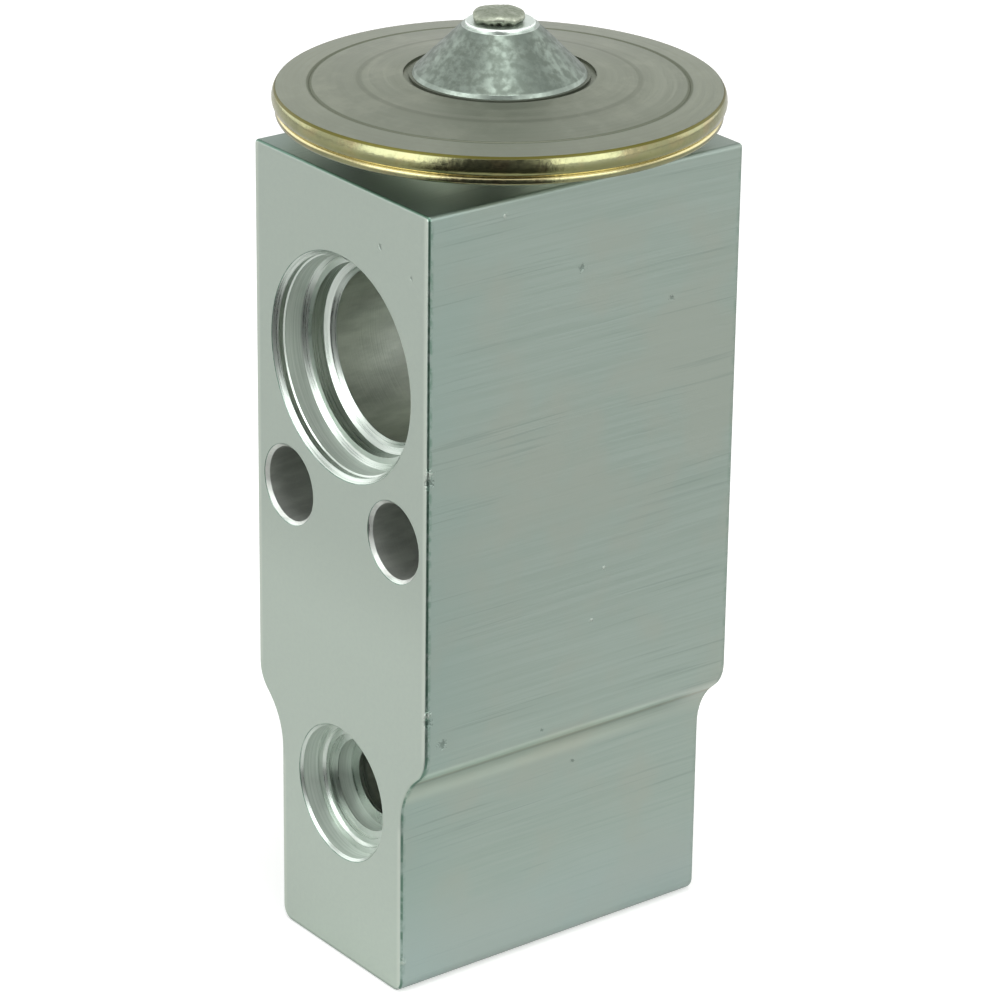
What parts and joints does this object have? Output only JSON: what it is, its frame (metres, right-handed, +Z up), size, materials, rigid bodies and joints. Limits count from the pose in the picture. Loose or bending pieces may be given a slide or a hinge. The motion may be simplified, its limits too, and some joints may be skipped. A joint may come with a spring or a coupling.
{
  "type": "thermostatic expansion valve",
  "caption": "Block-type refrigerant expansion valve: shouldered aluminium block with tube ports and bolt holes, and a round diaphragm head with a cone on top.",
  "frame": {"origin": "centre of the foot's bottom face, which is also the bottom centre of the bounding box", "axes": "+Z up along the valve stem towards the diaphragm head, Y from port face to port face with the liquid inlet facing -Y, X across the plain sides"},
  "size_m": [0.0401, 0.04, 0.0878],
  "materials": {
    "body_aluminium": "satin extruded and milled",
    "stainless": "turned",
    "polished_steel": "ground and polished",
    "spring_steel": "drawn",
    "screw_brass": "turned",
    "seal_rubber": "moulded, dark green",
    "shaft_aluminium": "turned",
    "yellow_plated_steel": "glossy yellow plating",
    "diaphragm_steel": "rolled thin sheet",
    "cover_steel": "satin, faint turned rings",
    "cone_steel": "satin, mottled",
    "plug_steel": "rough, fused"
  },
  "bodies": {
    "block": {"valve_body": "body_aluminium", "orifice_ring": "stainless", "gland_seal": "seal_rubber", "gland_washer": "stainless", "gland_retainer": "spring_steel", "head_housing": "yellow_plated_steel", "head_seal": "seal_rubber", "diaphragm": "diaphragm_steel", "head_cover": "cover_steel", "charge_cone": "cone_steel", "sealing_plug": "plug_steel"},
    "valve_train": {"support_pad": "stainless", "sensing_shaft": "shaft_aluminium", "operating_rod": "polished_steel", "valve_ball": "polished_steel", "ball_carrier": "stainless", "damper_spring": "spring_steel", "superheat_spring": "spring_steel"},
    "adjuster_ring": {"adjuster_seal": "seal_rubber"},
    "adjuster": {"adjusting_screw": "screw_brass"}
  },
  "joints": [
    {"name": "valve_lift", "type": "slide", "parent": "block", "child": "valve_train", "axis": [0, 0, -1], "range_m": [0, 0.0008], "stiffness_N_per_m": 6000, "deforming": ["superheat_spring"]},
    {"name": "adjuster_travel", "type": "slide", "parent": "block", "child": "adjuster_ring", "axis": [0, 0, 1], "range_m": [-0.00075, 0.00075]},
    {"name": "adjuster_turn", "type": "hinge", "parent": "adjuster_ring", "child": "adjuster", "pos_m": [0, 0, 0.0009], "axis": [0, 0, 1], "range_deg": [-270, 270]}
  ],
  "couplings": [
    {"joint": "adjuster_travel", "follows": "adjuster_turn", "m_per_rad": 0.00015915}
  ]
}
